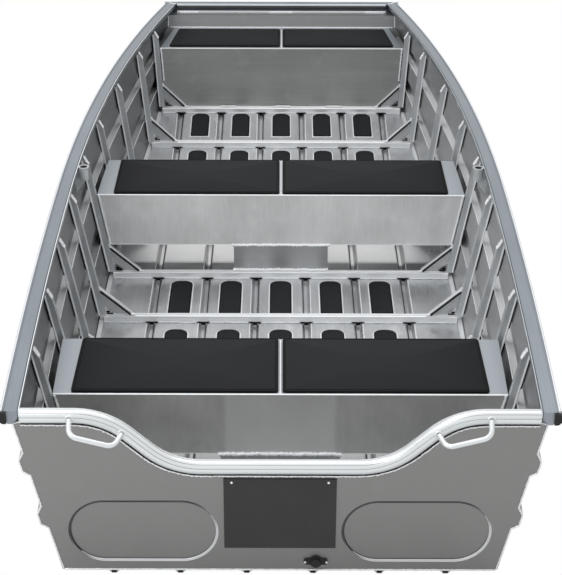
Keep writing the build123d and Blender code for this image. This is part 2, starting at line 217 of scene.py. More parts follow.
def onFloor(station, ahead, lift, raised=0.0):
    # y and z of a point ahead of a station and above the bottom, both in its slope
    tilt = slopeAt(station)
    return (
        yAt(station) + ahead * math.cos(tilt) - lift * math.sin(tilt),
        bottomZ(station) + raised + ahead * math.sin(tilt) + lift * math.cos(tilt),
    )


def onTransom(x, z, proud=0.0):
    # a point on the transom's aft face, at a height up its slope
    return (
        x,
        hull["transomY"] - z * math.sin(lean) - proud * math.cos(lean),
        z * math.cos(lean) - proud * math.sin(lean),
    )


def mirrored(hand, path):
    return [(hand * x, y, z) for x, y, z in path]


# Finishes: what every sheet has unless its own settings say otherwise
plainSheet = {
    "tint": (0.98, 1.0, 1.02), "dark": 0.78, "light": 1.18, "smear": 0.25, "cloudy": 0.0,
    "metal": 1.0, "grain": 0.10, "paintedBands": (), "inside": False, "hands": (),
}
sheetNoises = {  # scale, detail and roughness
    "fine": (90.0, 5.0, 0.65), "streak": (9.0, 4.0, 0.6), "cloud": (3.4, 3.0, 0.55),
    "smear": (14.0, 2.0, 0.5),
}


def grey(tone):
    return (tone, tone, tone, 1)


def sheetMetal(name, ownSettings):
    settings = {**plainSheet, **ownSettings}
    finish = Finish(name)
    x, y, z = finish.split(finish.place())
    normal = finish.split(finish.node("ShaderNodeNewGeometry", out="Normal"))
    fine = finish.noise(*sheetNoises["fine"], settings["along"])
    streak = finish.noise(*sheetNoises["streak"], settings["along"])
    cloud = finish.noise(*sheetNoises["cloud"])
    smear = finish.noise(*sheetNoises["smear"], (1, 0.6, 1))
    base, cloudy = settings["base"], settings["cloudy"]
    share = finish.limit(
        fine * 0.30 + streak * 0.40 + cloud * (0.45 + 2 * cloudy) - 0.08 - cloudy
    )
    low = [base * settings["dark"] * part for part in settings["tint"]]
    high = [base * settings["light"] * part for part in settings["tint"]]
    colour = finish.mix(share, (*low, 1), (*high, 1))
    marks = finish.limit((smear - 0.60) * 6.0) * settings["smear"]
    colour = finish.mix(marks, colour, grey(min(1.0, base * 1.5)))
    if "middle" in settings:  # painted highlight in the middle of a bench's face
        half, amount, tone = settings["middle"]
        within = finish.limit((half - finish.sum("ABSOLUTE", x)) * 70.0)
        colour = finish.mix(within * amount, colour, grey(tone))
    if "paintedTopLight" in settings:  # painted light: faces that look up get the tone that light from above gives them
        up = finish.limit((normal[2] - 0.3) * 4.0)
        if "ledge" in settings:  # only the upper strake, and in patches
            low, high = settings["ledge"]
            raised = finish.limit((z - low) * (1 / (high - low)))
            up = up * raised * finish.limit((streak - 0.40) * 5.0)
        colour = finish.mix(up, colour, (*settings["paintedTopLight"], 1))
    inboard = finish.sum("LESS_THAN", normal[0] * x, 0.0)
    for start, end, tone in settings["paintedBands"]:  # painted reflection and painted shade, by station
        band = finish.limit((y - yAt(start)) * 150.0) * finish.limit((yAt(end) - y) * 150.0)
        if settings["inside"]:
            band = band * inboard
        patches = finish.limit(cloud * 0.8 + settings["bandShare"] - 0.4)
        colour = finish.mix(band * patches, colour, (*tone, 1))
    for hand, amount, tone in settings["hands"]:  # painted reflection: one side's inner faces darker, the other's lighter
        onSide = finish.sum("GREATER_THAN", x * hand, 0.0)
        colour = finish.mix(inboard * onSide * amount, colour, grey(tone))
    return finish.set(
        Base_Color=colour,
        Metallic=settings["metal"],
        Roughness=finish.limit(streak * 0.16 + cloud * 0.12 + settings["rough"] - 0.12),
        Normal=finish.bump(fine * 0.5 + streak, settings["grain"], 0.0012),
    )


def gunwaleMetal(name, settings):
    # fine grooves run along the bar, told by the distance from its own centre line
    finish = Finish(name)
    x, y, z = finish.split(finish.place())
    station = y - hull["transomY"]
    run = station - hull["topWidest"]
    aft = finish.sum("LESS_THAN", run, 0.0)
    aftCurve = (hull["topHalf"] - hull["topStern"]) / hull["topWidest"] ** 2
    curve = aft * aftCurve + (1 - aft) * hull["topBow"]
    centre = hull["topHalf"] - run * run * curve
    across = finish.sum("ABSOLUTE", x) - centre
    bow = finish.sum("GREATER_THAN", station, hull["length"] - 2.1 * hull["gunwaleHalf"])
    across = (1 - bow) * across + bow * (station - bowCentre)
    ridges = finish.node(
        "ShaderNodeTexNoise",
        {"noise_dimensions": "1D"},
        {"W": across, "Scale": settings["ridges"], "Detail": 2.0, "Roughness": 0.6},
    )
    patches = finish.noise(5.0, 4.0, 0.6, (1, 0.3, 1))
    share = finish.limit(ridges * 0.75 + patches * 0.80 - 0.30)
    colour = finish.mix(share, (*settings["low"], 1), (*settings["high"], 1))
    # painted highlights along the bar's outer and inner edges, and a painted shade line beside the
    # inner one
    for place, wide, tone in settings["lines"]:
        gap = finish.sum("ABSOLUTE", across - place)
        line = finish.limit((wide - gap) * (3.0 / wide))
        colour = finish.mix(line * settings["lineStrength"], colour, (*tone, 1))
    # the bow bar's inner face is in the shade
    inside = finish.sum("LESS_THAN", across, 0.003 - hull["gunwaleHalf"])
    below = finish.sum("LESS_THAN", z, sheerZ(hull["length"]) - 0.006)
    colour = finish.mix(inside * below * bow * 0.8, colour, (*settings["shaded"], 1))
    return finish.set(
        Base_Color=colour,
        Metallic=settings["metal"],
        Roughness=finish.limit(patches * 0.18 + settings["rough"]),
        Normal=finish.bump(ridges, 0.25, 0.0008),
    )


def weldMetal(name):
    finish = Finish(name)
    bead = finish.noise(260.0, 3.0, 0.6)
    return finish.set(
        Base_Color=finish.mix(bead, (0.62, 0.63, 0.64, 1), (0.97, 0.98, 1.0, 1)),
        Metallic=0.55,
        Roughness=finish.limit(bead * 0.25 + 0.22),
        Normal=finish.bump(bead, 0.4, 0.0010),
    )


def foam(name, base, cellScale=520.0, rough=0.82, tint=(0.94, 1.0, 1.10)):
    finish = Finish(name)
    finish.set(Specular_IOR_Level=0.2)
    cells = finish.noise(cellScale, 2.0, 0.6)
    wear = finish.noise(7.0, 4.0, 0.6)
    share = finish.limit(cells * 0.7 + wear * 0.5 - 0.1)
    low = [base * 0.68 * part for part in tint]
    high = [base * 1.40 * part for part in tint]
    return finish.set(
        Base_Color=finish.mix(share, (*low, 1), (*high, 1)),
        Roughness=finish.limit(wear * 0.2 + rough - 0.1),
        Normal=finish.bump(cells, 0.35, 0.0006),
    )


# Each sheet's own tone and grain, with the painted top light, highlights, shade and reflections that
# some sheets get
even = {"along": (0.3, 0.3, 0.3), "smear": 0.0}
box = {"rough": 0.34, "metal": 0.75, "tint": (1.0, 1.0, 0.99), "dark": 0.60,
       "paintedTopLight": (0.43, 0.465, 0.50)}
sheets = {
    "transom": {"base": 0.27, "along": (1.0, 1.0, 0.22), "rough": 0.42, "smear": 0.05,
                "dark": 0.90, "light": 1.10, "tint": (1.0, 1.0, 0.99), "grain": 0.05},
    # sides: painted top light on the upper strake, a painted dark reflection towards the bow, and
    # painted reflection making the port inner faces darker, the starboard ones lighter
    "sides": {"base": 0.39, "along": (1.0, 0.10, 1.0), "rough": 0.34, "metal": 0.85,
              "dark": 0.50, "light": 1.50, "paintedTopLight": (0.60, 0.61, 0.62), "ledge": (0.24, 0.33),
              "paintedBands": ((3.41, 3.90, (0.07, 0.07, 0.075)),), "bandShare": 0.8, "inside": True,
              "hands": ((-1, 0.45, 0.12), (1, 0.30, 0.80))},
    "bowPlate": {"base": 0.32, "along": (0.08, 1.0, 1.0), "rough": 0.36, "metal": 0.8},
    # floor: painted shade in bands just fore of the stern and mid benches, and a white band of
    # painted reflection beyond the mid one
    "floor": {"base": 0.66, "along": (1.0, 0.05, 1.0), "rough": 0.28, "metal": 0.8,
              "smear": 0.45, "dark": 0.55, "light": 1.40, "bandShare": 0.75,
              "paintedBands": ((0.396, 0.47, (0.13, 0.13, 0.13)), (1.843, 1.952, (0.07, 0.07, 0.07)),
                        (1.960, 2.16, (1.0, 1.0, 1.0)))},
    "frames": {"base": 0.94, "along": (0.10, 1.0, 1.0), "rough": 0.30, "metal": 0.3,
               "dark": 0.75, "light": 1.08},
    "ribs": {"base": 0.66, "along": (1.0, 1.0, 0.10), "rough": 0.34, "metal": 0.7,
             "dark": 0.75, "light": 1.2, "tint": (0.96, 1.0, 1.03)},
    "gussets": {"base": 0.62, "along": (1.0, 1.0, 0.10), "rough": 0.36, "metal": 0.7,
                "paintedTopLight": (0.70, 0.72, 0.74)},
    "support": {"base": 0.54, "along": (0.10, 1.0, 1.0), "rough": 0.36, "metal": 0.7},
    "sternBench": {**box, "base": 0.74, "along": (0.6, 1.0, 0.25), "light": 1.30, "cloudy": 0.28,
                   "middle": (0.165, 0.55, 1.0)},
    "bowBench": {**box, "base": 0.42, "along": (0.05, 1.0, 1.0), "light": 1.4},
    "midBench": {"base": 0.92, "along": (1.0, 1.0, 0.16), "rough": 0.34, "metal": 0.35,
                 "tint": (1.0, 1.0, 1.0), "dark": 0.52, "light": 1.16, "cloudy": 0.22,
                 "paintedTopLight": (0.42, 0.455, 0.49)},
    "tube": {"base": 0.80, "along": (0.10, 1.0, 1.0), "rough": 0.30, "metal": 0.65,
             "dark": 0.92, "light": 1.08, "smear": 0.0, "grain": 0.04,
             "tint": (0.955, 0.995, 1.01)},
    "rimShade": {**even, "base": 0.075, "rough": 0.5},
    "rimLight": {**even, "base": 0.72, "rough": 0.4, "metal": 0.6},
    "groove": {"base": 0.42, "along": (0.10, 1.0, 1.0), "rough": 0.35, "smear": 0.0,
               "tint": (0.96, 1.0, 1.04)},
    # near-white: weld beads, and the threads of painted highlight
    "edge": {**even, "base": 0.98, "rough": 0.30, "metal": 0.15, "dark": 0.90, "light": 1.02},
}
gunwaleSettings = {
    "low": (0.205, 0.233, 0.262), "high": (0.375, 0.414, 0.455), "metal": 0.8, "rough": 0.28,
    "ridges": 420.0, "lineStrength": 0.85, "shaded": (0.045, 0.05, 0.055),
    # painted highlights and a painted shade line along the bar's edges
    "lines": (
        (0.0215, 0.0026, (0.95, 0.97, 1.0)),
        (-0.0212, 0.0014, (0.05, 0.06, 0.07)),
        (-0.0238, 0.0014, (0.92, 0.95, 0.98)),
    ),
}
looks = {key: sheetMetal(key.capitalize() + "Metal", value) for key, value in sheets.items()}
looks["gunwale"] = gunwaleMetal("GunwaleMetal", gunwaleSettings)
looks["weld"] = weldMetal("WeldMetal")
looks["foam"] = foam("PadFoam", 0.0150)
# near-black: the pads' rims, and the dark threads and discs of painted shade
looks["darkRimAndPaintedShade"] = foam("PadRimAndPaintedShade", 0.005)
looks["plastic"] = foam("BlackPlastic", 0.020, 300.0, 0.5, (1.0, 1.0, 1.02))
looks["motorPad"] = foam("MotorPadPlastic", 0.038, 240.0, 0.55, (1.0, 1.0, 1.0))
lookOf = (
    ("transom_plate", "transom"), ("transom_cap", "tube"), ("handle", "tube"), ("rowlock", "tube"),
    ("gunwale", "gunwale"), ("side_plate", "sides"), ("bow_plate", "bowPlate"),
    ("bottom_plate", "floor"), ("floor_beam", "frames"), ("side_ribs", "ribs"),
    ("gussets", "gussets"), ("chine_bar", "frames"), ("support", "support"),
    ("bench_mid", "midBench"), ("bench_stern", "sternBench"), ("bench_bow", "bowBench"),
    ("pad_", "foam"), ("floor_pads", "foam"), ("motor_pad", "motorPad"), ("drain", "plastic"),
    ("end_cap", "plastic"),
)
for name, piece in nodes.items():
    look = next(look for start, look in lookOf if name.startswith(start))
    piece.data.materials.clear()
    piece.data.materials.append(looks[look])
print("finishes set")


# Making: each piece is begun, shaped by operators and then finished the same way
def setMode(kind):
    bpy.ops.object.mode_set(mode=kind)


def beginPiece(kind, name, **placing):
    if bpy.context.object and bpy.context.object.mode == "EDIT":
        setMode("OBJECT")
    bpy.ops.object.select_all(action="DESELECT")
    group, tool = kind.split(".")
    getattr(getattr(bpy.ops, group), tool)(**placing)
    piece = bpy.context.object
    piece.name = name
    return piece


def finishPiece(piece, look, smooth=35):
    if piece.mode == "EDIT":
        setMode("OBJECT")
    bpy.ops.object.select_all(action="DESELECT")
    piece.select_set(True)
    bpy.context.view_layer.objects.active = piece
    if piece.type == "CURVE":
        bpy.ops.object.convert(target="MESH")
        piece = bpy.context.object
    bpy.ops.object.transform_apply()
    bpy.ops.object.shade_smooth_by_angle(angle=math.radians(smooth))
    if look:
        piece.data.materials.clear()
        piece.data.materials.append(looks[look])
    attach(piece, "root")
    return piece


def joinAll(pieces, name):
    if len(pieces) > 1:
        bpy.ops.object.select_all(action="DESELECT")
        for piece in pieces:
            piece.select_set(True)
        bpy.context.view_layer.objects.active = pieces[0]
        bpy.ops.object.join()
    pieces[0].name = name
    return pieces[0]


def clearPicks(kind):
    setMode("EDIT")
    bpy.ops.mesh.select_mode(type=kind)
    bpy.ops.mesh.select_all(action="DESELECT")
    setMode("OBJECT")


def pickFaces(piece, test):
    # in edit mode, selects only the faces that pass
    clearPicks("FACE")
    for face in piece.data.polygons:
        face.select = test(face)
    setMode("EDIT")


def pickEdges(piece, test):
    # the same for edges, told by their two ends
    clearPicks("EDGE")
    spots = piece.data.vertices
    for edge in piece.data.edges:
        edge.select = test(*[spots[i].co for i in edge.vertices])
    setMode("EDIT")


def insetSteps(steps):
    # each step has a width and a rise
    for wide, rise in steps:
        bpy.ops.mesh.inset(thickness=wide, depth=rise)


def addBox(name, middle, size):
    block = beginPiece("mesh.primitive_cube_add", name, size=1, location=middle, scale=size)
    bpy.ops.object.transform_apply()
    return block


def facesUp(face):
    return face.normal.z > 0.9


def upright(a, b):
    return abs(a.z - b.z) > 0.001


# Threads and weld beads: a bevelled line, its radius rising and falling along a bead
def threads(name, paths, radius, look, ripple=0.0, step=0.005, seed=1, sides=2, taper=0.0):
    dice = random.Random(seed)
    piece = beginPiece("curve.primitive_bezier_curve_add", name, location=(0, 0, 0))
    line = piece.data
    line.splines.clear()
    line.dimensions = "3D"
    line.bevel_depth = radius
    line.bevel_resolution = sides
    line.use_fill_caps = True
    for path in paths:
        spots = []
        for start, end in zip(path, path[1:]):
            start, end = Vector(start), Vector(end)
            count = max(1, round((end - start).length / step)) if ripple else 1
            spots += [start.lerp(end, i / count) for i in range(count)]
        spots.append(Vector(path[-1]))
        spline = line.splines.new("POLY")
        spline.points.add(len(spots) - 1)
        for i, (point, spot) in enumerate(zip(spline.points, spots)):
            wobble = Vector([dice.uniform(-1, 1) * ripple * radius * 0.5 for _ in range(3)])
            point.co = (*(spot + wobble), 1)
            point.radius = 1 - ripple * (i % 2) * dice.uniform(0.4, 1.0)
            if taper:  # thins out towards both ends
                point.radius *= min(1, 0.1 + min(i, len(spots) - 1 - i) / (taper * len(spots)))
    return finishPiece(piece, look, smooth=60)


def beads(name, paths, radius, look, ripple, step, seed, sides=2):
    # weld beads, on the frames' metal
    threads(name, paths, radius, look, ripple, step, seed, sides)


def levelLine(start, end, y, z):
    # a line straight across the boat
    return [(start, y, z), (end, y, z)]


def inPlane(hand, y, *spots):
    # a line through points that share their y
    return [(hand * x, y, z) for x, z in spots]


# Bars: a face through the corners, drawn out by each shift in turn
def drawOut(name, corners, shifts):
    piece = beginPiece(
        "mesh.primitive_circle_add", name, vertices=len(corners), fill_type="NGON",
        location=(0, 0, 0),
    )
    for vertex, corner in zip(piece.data.vertices, corners):
        vertex.co = corner
    setMode("EDIT")
    bpy.ops.mesh.select_all(action="SELECT")
    for shift in shifts:
        bpy.ops.mesh.extrude_region_move(TRANSFORM_OT_translate={"value": shift})
    bpy.ops.mesh.select_all(action="SELECT")
    bpy.ops.mesh.normals_make_consistent(inside=False)
    return piece


def runBar(name, outline, path, look):
    x, y, z = path[0]
    corners = [(x + aside, y, z + up) for aside, up in outline]
    shifts = [[b - a for a, b in zip(here, there)] for here, there in zip(path, path[1:])]
    return finishPiece(drawOut(name, corners, shifts), look)


def crossBar(name, outline, halfLong, y, z, look):
    # straight across the boat, its outline given as (fore, up)
    corners = [(-halfLong, y + fore, z + up) for fore, up in outline]
    return finishPiece(drawOut(name, corners, [(halfLong / 2, 0, 0)] * 4), look)


# Bench pads: foam mats with rounded corners, a pressed rim and a slightly crowned field
benchPads = {
    "tapers": {"stern": -0.001, "mid": -0.001, "bow": -0.031},
    "corner": 0.012, "shoulder": (0.0015, 0.0), "swell": 0.0012,
    "rim": ((0.007, -0.0012), (0.002, 0.0016)), "crown": 0.0012, "rimReach": 0.011,
}
for row, taper in benchPads["tapers"].items():
    for side, hand in bothSides:
        node = f"pad_{row}_{side}"
        low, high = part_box(node)
        middle = [(a + b) / 2 for a, b in zip(low, high)]
        size = [b - a for a, b in zip(low, high)]
        pad = addBox(f"padFoam_{row}_{side}", middle, size)
        outer = high[0] if hand > 0 else low[0]
        for vertex in pad.data.vertices:  # the outer edge follows the hull
            if abs(vertex.co.x - outer) < 1e-4 and vertex.co.y > middle[1]:
                vertex.co.x += hand * taper
        pickEdges(pad, upright)
        bpy.ops.mesh.bevel(offset=benchPads["corner"], segments=5, affect="EDGES")
        pickFaces(pad, facesUp)
        insetSteps([benchPads["shoulder"]])
        bpy.ops.transform.translate(value=(0, 0, benchPads["swell"]))
        insetSteps(benchPads["rim"])
        bpy.ops.mesh.poke(offset=benchPads["crown"])
        setMode("OBJECT")
        pad = finishPiece(pad, "foam", smooth=40)
        pad.data.materials.append(looks["darkRimAndPaintedShade"])
        edge = benchPads["rimReach"]
        for face in pad.data.polygons:
            x, y, z = face.center
            inX = min(abs(x - low[0]), abs(x - high[0])) < edge
            inY = min(abs(y - low[1]), abs(y - high[1])) < edge
            face.material_index = 1 if (inX or inY) else 0
        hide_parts(node)
print("bench pads made")


# Floor pads: five across in each bay, arched at the fore end, following the bottom
floorPads = {
    "bays": ((0.782, 1.070), (1.146, 1.400), (1.514, 1.785), (2.237, 2.595), (2.672, 3.042),
             (3.182, 3.386)),
    "half": 0.039, "thick": 0.0038, "arch": 0.032, "corner": 0.006, "lift": 0.0003,
    "rim": ((0.0012, 0.0), (0.0035, 0.0006), (0.0012, 0.0), (0.0008, -0.0006)), "rimReach": 0.0048,
    "border": 0.0042, "borderMiddle": 0.0008, "borderThick": 0.0014, "borderLift": 0.0001,
}


def flatBox(name, column, aft, fore, half, middle, thick):
    # its y is a station until layOnFloor bends it
    x = (column - 2) * hull["ribPitch"]
    return addBox(name, (x, (aft + fore) / 2, middle), (2 * half, fore - aft, thick))


def sliceAlong(aft, fore):
    for k in range(1, 6):
        bpy.ops.mesh.select_all(action="SELECT")
        bpy.ops.mesh.bisect(plane_co=(0, aft + (fore - aft) * k / 6, 0), plane_no=(0, 1, 0))
    setMode("OBJECT")


def layOnFloor(piece, above):
    for vertex in piece.data.vertices:
        x, station, z = vertex.co
        vertex.co = (x, *onFloor(station, 0.0, hull["sheet"] + above + z))


for number, (aft, fore) in enumerate(floorPads["bays"], start=1):
    row = []
    half, thick, reach = floorPads["half"], floorPads["thick"], floorPads["rimReach"]
    for i in range(5):
        pad = flatBox(f"floorPad_{number}_{i}", i, aft, fore, half, thick / 2, thick)
        pickEdges(pad, lambda a, b: upright(a, b) and a.y > fore - 0.001)
        bpy.ops.mesh.bevel(offset=floorPads["arch"], segments=7, affect="EDGES")
        pickEdges(pad, lambda a, b: upright(a, b) and a.y < aft + 0.001)
        bpy.ops.mesh.bevel(offset=floorPads["corner"], segments=3, affect="EDGES")
        pickFaces(pad, facesUp)
        insetSteps(floorPads["rim"])
        sliceAlong(aft, fore)
        pad.data.materials.clear()
        pad.data.materials.append(looks["foam"])
        pad.data.materials.append(looks["darkRimAndPaintedShade"])
        for face in pad.data.polygons:
            x, y, z = face.center
            x -= (i - 2) * hull["ribPitch"]
            nearEdge = half - abs(x) < reach or y - aft < reach or fore - y < reach
            face.material_index = 1 if nearEdge and z > thick * 0.9 else 0
        layOnFloor(pad, floorPads["lift"])
        row.append(pad)
    # a near-white rim round each pad: painted highlight
    borders = []
    wide = floorPads["border"]
    for i in range(5):
        border = flatBox(
            "border", i, aft - wide, fore + wide, half + wide, floorPads["borderMiddle"],
            floorPads["borderThick"],
        )
        pickEdges(border, lambda a, b: upright(a, b) and a.y > fore)
        bpy.ops.mesh.bevel(offset=floorPads["arch"] + wide, segments=7, affect="EDGES")
        sliceAlong(aft, fore)
        layOnFloor(border, floorPads["borderLift"])
        borders.append(border)
    finishPiece(joinAll(borders, f"floorPadHighlightRims_{number}"), "edge")
    mats = finishPiece(joinAll(row, f"floorPads_{number}"), None, smooth=40)
    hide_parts("floor_pads")
print("floor pads made")


# Gunwale trim: a rounded outer lip, the edges of its grooves and a thin inner lip
gunwaleTrim = {
    "stations": (-0.029, 0.25, 0.5, 0.75, 1.0, 1.25, 1.5, 1.75, 2.0, 2.2, 2.4, 2.6, 2.8, 3.0, 3.15,
                 3.3, 3.45, 3.6, 3.7, 3.79),
    "outer": ((-0.0030, -0.0010), (-0.0026, 0.0014), (-0.0010, 0.0022), (0.0012, 0.0022),
              (0.0026, 0.0012), (0.0030, -0.0010)),
    "thin": ((-0.0012, -0.0012), (-0.0010, 0.0018), (0.0010, 0.0018), (0.0012, -0.0012)),
    "soft": (("outer", 0.0218), ("thin", 0.0165), ("thin", -0.0195)),
    "bright": (("thin", -0.0236),),
    "lift": 0.0003, "bowLines": (0.0218, 0.0120, 0.0040, -0.0060), "bowLift": 0.0002,
    "mitre": 0.8, "bowInset": 0.004,
}
for side, hand in bothSides:
    # the thin inner lip is near-white on the port side, a painted highlight, and rib grey on the
    # starboard side
    for part, look in (("soft", "gunwale"), ("bright", "edge" if hand < 0 else "ribs")):
        strips = []
        for outline, place in gunwaleTrim[part]:
            path = [
                (hand * (topX(s) + place), yAt(s), sheerZ(s) + gunwaleTrim["lift"])
                for s in gunwaleTrim["stations"]
            ]
            points = [(hand * x, z) for x, z in gunwaleTrim[outline]]
            strips.append(runBar("strip", points, path, look))
        name = f"gunwaleTrim_{side}" if part == "soft" else f"gunwaleLip_{side}"
        joinAll(strips, name)
bowSheer = sheerZ(bowCentre)
bowStrips = []
for place in gunwaleTrim["bowLines"]:
    reach = topX(bowCentre + place) + place * gunwaleTrim["mitre"] - gunwaleTrim["bowInset"]
    y, z = yAt(bowCentre + place), bowSheer + gunwaleTrim["bowLift"]
    bowStrips.append([(x, y, z) for x in (-reach, 0, reach)])
threads("gunwaleTrim_bow", bowStrips, 0.0010, "gunwale")

# The bow bar's inner lip and the thin flange under it
lip = {"proud": 0.0262, "wide": 0.028, "drop": 0.0012, "low": 0.0378, "tall": 0.0082, "gap": 0.0004}
lipX, lipY = topX(bowCentre) - lip["wide"], yAt(bowCentre - lip["proud"])
lipOutline = ((0, -0.0035), (0, 0.0030), (0.0015, 0.0040), (0.0035, 0.0030), (0.0035, -0.0035))
flangeOutline = ((-0.0012, 0), (0.0008, 0), (0.0010, lip["tall"] - 0.001), (0, lip["tall"]),
                 (-0.0012, lip["tall"] - 0.001))
crossBar("gunwaleLip_bow", lipOutline, lipX, lipY, bowSheer - lip["drop"], "edge")
crossBar("bowFlange", flangeOutline, lipX, lipY + lip["gap"], bowSheer - lip["low"],
         "frames")
print("gunwale trim made")


# The transom cap's line, the seams pressed along it, a dark thread of painted shade under it and the
# weld bead under that
capLine = {
    "shoulder": 0.506, "middle": 0.348, "outerX": 0.456, "innerX": 0.286, "bend": 0.200,
    "end": 0.671, "back": 0.0015, "steps": 7, "seams": (14, 46, 84), "seamAt": 0.0196,
}


def capPoints():
    # half of the cap's centre line, from the middle out, its corners rounded
    inner, outer = (capLine["innerX"], capLine["middle"]), (capLine["outerX"], capLine["shoulder"])
    angle = math.atan2(outer[1] - inner[1], outer[0] - inner[0])
    bend, steps = capLine["bend"], capLine["steps"]
    cut = bend * math.tan(angle / 2)
    turns = [angle * i / steps for i in range(steps + 1)]
    rounded = []
    for (x, z), way in ((inner, 1), (outer, -1)):
        for turn in turns[::way]:
            out, up = bend * math.sin(turn) - cut, bend * (1 - math.cos(turn))
            rounded.append((x + way * out, z + way * up))
    return [(0.0, inner[1])] + rounded + [(capLine["end"], outer[1])]


def capRun(angle, radius):
    # a line along the tube at an angle round it: 0 is aft, 90 is up
    half = capPoints()
    full = [(-x, z) for x, z in reversed(half[1:])] + half
    rise = radius * math.sin(math.radians(angle))
    proud = radius * math.cos(math.radians(angle)) - capLine["back"]
    path = []
    for i, (x, z) in enumerate(full):
        before, after = full[max(0, i - 1)], full[min(len(full) - 1, i + 1)]
        along = Vector((after[0] - before[0], after[1] - before[1])).normalized()
        path.append(onTransom(x - along.y * rise, z + along.x * rise, proud))
    return path


seams = [capRun(angle, capLine["seamAt"]) for angle in capLine["seams"]]
threads("capSeams", seams, 0.0010, "groove")
# a dark thread under the cap: painted shade
threads("capShade", [capRun(-79, 0.0232)], 0.0019, "darkRimAndPaintedShade")
beads("weld_capUnderside", [capRun(-84, 0.0282)], 0.0027, "edge", ripple=0.5, step=0.006, seed=4)

# Handle collars, where the rods are welded to the cap
collar = {
    "spots": ((0.543, 0.506), (0.410, 0.462)), "radius": 0.0095, "proud": 0.0185, "sink": 0.0012,
}
collars = []
for hand in hands:
    for x, z in collar["spots"]:
        ring = []
        for turn in [math.radians(30 * i) for i in range(13)]:
            ring.append(onTransom(
                hand * x + collar["radius"] * math.cos(turn), z + collar["radius"] * math.sin(turn),
                collar["proud"] - collar["sink"] * (1 - math.cos(2 * turn)),
            ))
        collars.append(ring)
beads("weld_handles", collars, 0.0032, "weld", ripple=0.35, step=0.004, seed=5)


# The strakes: shares of the side plate's height where it steps out and back
strakes = {
    "starts": (0.300, 0.655), "out": 0.0175, "foot": 0.006, "top": 0.0004,
    "outAt": 0.026, "outTo": 0.095, "backAt": 0.148,
}


def strakeLine(station):
    # height and step of each fold, from the foot up
    low = bottomZ(station) - strakes["foot"]
    tall = sheerZ(station) - hull["gunwaleDepth"] - strakes["top"] - low
    line = [(low, 0.0)]
    for start in strakes["starts"]:
        line += [
            (low + start * tall, 0.0),
            (low + (start + strakes["outAt"]) * tall, strakes["out"]),
            (low + (start + strakes["outTo"]) * tall, strakes["out"]),
            (low + (start + strakes["backAt"]) * tall, 0.0),
        ]
    return line + [(low + tall, 0.0)]


# Welds of the transom: along its foot, up its edges and round its top corners
transomBeads = {
    "footZ": 0.0012, "footProud": 0.0008, "footInset": 0.004, "edge": 0.0004, "edgeFoot": 0.004,
    "corner": ((0.0, -0.004, 0.001), (0.012, 0.002, 0.002), (0.026, 0.004, 0.003),
               (0.037, 0.016, 0.006), (0.038, 0.028, 0.008)),  # inward, up and proud
}
transomWelds = []
for hand in hands:
    gap = transomBeads["edge"]
    edge = [(hand * (sideX(0, z) + out + gap), z) for z, out in strakeLine(0)]
    edge[0] = (edge[0][0], hull["ribDrop"] + transomBeads["edgeFoot"])
    footZ = hull["ribDrop"] + transomBeads["footZ"]
    transomWelds.append([
        onTransom(hand * reach, footZ, transomBeads["footProud"])
        for reach in (0.0, chineX(0) - transomBeads["footInset"])
    ])
    transomWelds.append([onTransom(x, z, gap) for x, z in edge])
    x, z = edge[-1]
    transomWelds.append([
        onTransom(x - hand * inward, z + up, proud) for inward, up, proud in transomBeads["corner"]
    ])
beads("weld_transomEdges", transomWelds, 0.0028, "weld", ripple=0.35, step=0.006, seed=6)


# Welds of the frames: along the beams' feet, at the gussets' tips and the ribs' heads
gusset = {"above": 0.0048, "ribDeep": 0.0304, "long": 0.092, "tall": 0.095}
frameBeads = {
    "notch": 0.022, "beamInset": 0.017, "beamEnd": 0.004, "beamAft": 0.0012, "beamLift": 0.0022,
    "tipAft": 0.0095, "toe": ((-0.010, -0.002), (0.003, 0.001)),
    "tip": ((-0.002, 0.094), (0.001, 0.106)),
    "foot": (0.020, 0.032), "footAft": 0.002, "footDrop": 0.003,
    "headRows": (-0.0125, -0.0050, 0.0025), "head": ((0.0305, -0.017), (0.0140, 0.011)),
    "strakes": (2, 6), "strakeIn": 0.0045, "strakeAft": 0.0125, "strake": (-0.012, 0.008),
}


def gussetAt(station):
    # the height of a gusset's foot, and x of its inner corner and its upper tip
    top = beamTop(station) + gusset["above"]
    upX = sideX(station, top + gusset["tall"]) - gusset["ribDeep"]
    return top, sideX(station, top) - gusset["ribDeep"], upX


beamWelds, frameWelds, tipWelds, headWelds = [], [], [], []
for station in hull["frames"]:
    y, z = onFloor(
        station, -hull["beamWide"] / 2 - frameBeads["beamAft"], frameBeads["beamLift"], hull["sheet"]
    )
    reach = chineX(station) - frameBeads["beamInset"]
    stops = [-reach] + [x + way * frameBeads["notch"] for x in ribX for way in (-1, 1)] + [reach]
    for start, end in zip(stops[::2], stops[1::2]):
        beamWelds.append(levelLine(start + frameBeads["beamEnd"], end - frameBeads["beamEnd"], y, z))
    top, inner, upX = gussetAt(station)
    toe = inner - gusset["long"]
    neck = neckZ(station)
    for hand in hands:
        for x, bead in ((toe, "toe"), (upX, "tip")):
            spots = [(x + aside, top + up) for aside, up in frameBeads[bead]]
            tipWelds.append(inPlane(hand, yAt(station) - frameBeads["tipAft"], *spots))
        start, end = frameBeads["foot"]
        frameWelds.append(levelLine(
            hand * (toe + start), hand * (inner - end), yAt(station) - frameBeads["footAft"],
            top - frameBeads["footDrop"],
        ))
        for row in frameBeads["headRows"]:
            x = sideX(station, neck)
            spots = [(x - inward, neck + up) for inward, up in frameBeads["head"]]
            headWelds.append(inPlane(hand, yAt(station) + row, *spots))
        for strake in frameBeads["strakes"]:
            z = strakeLine(station)[strake][0]
            x = sideX(station, z) - frameBeads["strakeIn"]
            spots = [(x, z + up) for up in frameBeads["strake"]]
            frameWelds.append(inPlane(hand, yAt(station) - frameBeads["strakeAft"], *spots))
